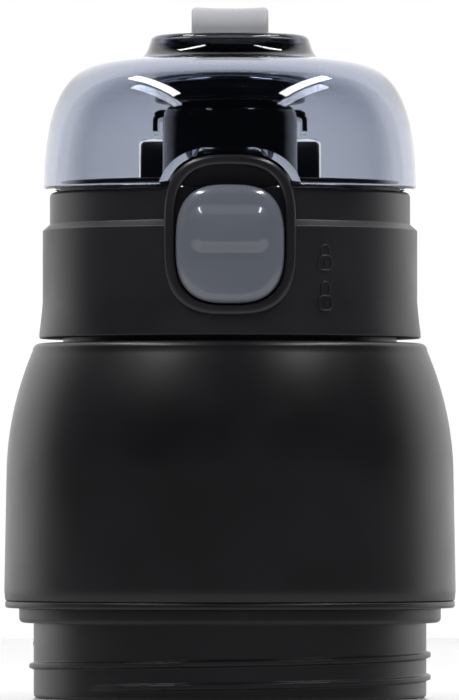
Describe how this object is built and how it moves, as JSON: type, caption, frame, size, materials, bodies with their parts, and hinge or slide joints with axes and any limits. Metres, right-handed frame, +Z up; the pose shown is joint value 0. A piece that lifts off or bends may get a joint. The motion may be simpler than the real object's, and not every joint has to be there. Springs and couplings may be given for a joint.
{
  "type": "vacuum flask head",
  "caption": "Head of a vacuum flask: double-walled shoulder with a male body thread, screw-on collar with a spout, smoke-tinted flip cap, carry strap and a locking push button.",
  "frame": {"origin": "centre of the skirt's foot, on the axis of the flask, at the bottom centre of the bounding box", "axes": "+Z up along the flask's axis, -Y towards the push button, +X to the right of someone facing the button"},
  "size_m": [0.073, 0.073, 0.1114],
  "materials": {
    "black_coat": "satin powder coat",
    "steel": "brushed",
    "spring_steel": "drawn wire",
    "black_plastic": "satin moulded",
    "matte_black": "fine matte moulded",
    "satin_black": "satin moulded",
    "gloss_black": "glossy moulded",
    "smoke_clear": "smoke-tinted clear, polished",
    "grey_gloss": "glossy moulded",
    "strap_grey": "matte moulded silicone",
    "black_seal": "moulded silicone",
    "clear_seal": "moulded translucent silicone"
  },
  "bodies": {
    "shoulder": {"shoulder_shell": "black_coat", "inner_liner": "steel", "neck_ring": "black_plastic", "threaded_skirt": "black_plastic", "body_seal": "black_seal"},
    "seal_ring": {"lid_seal": "clear_seal"},
    "lid": {"collar": "matte_black", "bezel": "satin_black", "lid_core": "black_plastic", "spout": "black_plastic", "spout_gasket": "clear_seal", "vent_valve": "clear_seal", "hinge_pin": "steel", "hinge_spring": "spring_steel", "latch_pin": "steel", "latch_spring": "spring_steel"},
    "slider": {"lock_slider": "black_plastic", "button_spring": "spring_steel"},
    "button": {"push_button": "grey_gloss"},
    "latch": {"latch_lever": "grey_gloss"},
    "cap": {"cap_dome": "smoke_clear", "cap_liner": "gloss_black", "crown_insert": "gloss_black", "spout_plug": "clear_seal", "carry_strap": "strap_grey", "strap_pins": "steel"}
  },
  "joints": [
    {"name": "lid_lift", "type": "slide", "parent": "shoulder", "child": "seal_ring", "axis": [0, 0, 1], "range_m": [0, 0.007]},
    {"name": "lid_turn", "type": "hinge", "parent": "seal_ring", "child": "lid", "pos_m": [0, 0, 0.065], "axis": [0, 0, 1], "range_deg": [0, 632]},
    {"name": "cap_hinge", "type": "hinge", "parent": "lid", "child": "cap", "pos_m": [0, 0.0254, 0.087], "axis": [-1, 0, 0], "range_deg": [0, 105], "deforming": ["hinge_spring"]},
    {"name": "lock_slide", "type": "slide", "parent": "lid", "child": "slider", "axis": [0, 0, 1], "range_m": [0, 0.0028]},
    {"name": "button_press", "type": "slide", "parent": "slider", "child": "button", "axis": [0, 1, 0], "range_m": [0, 0.0012], "stiffness_N_per_m": 400, "springref_m": -0.002, "deforming": ["button_spring", "latch_spring"]},
    {"name": "latch_pivot", "type": "hinge", "parent": "lid", "child": "latch", "pos_m": [0, -0.0252, 0.0755], "axis": [1, 0, 0], "range_deg": [0, 8.7]}
  ],
  "couplings": [
    {"joint": "lid_turn", "follows": "lid_lift", "rad_per_m": 1570.8},
    {"joint": "latch_pivot", "follows": "button_press", "rad_per_m": 125}
  ]
}
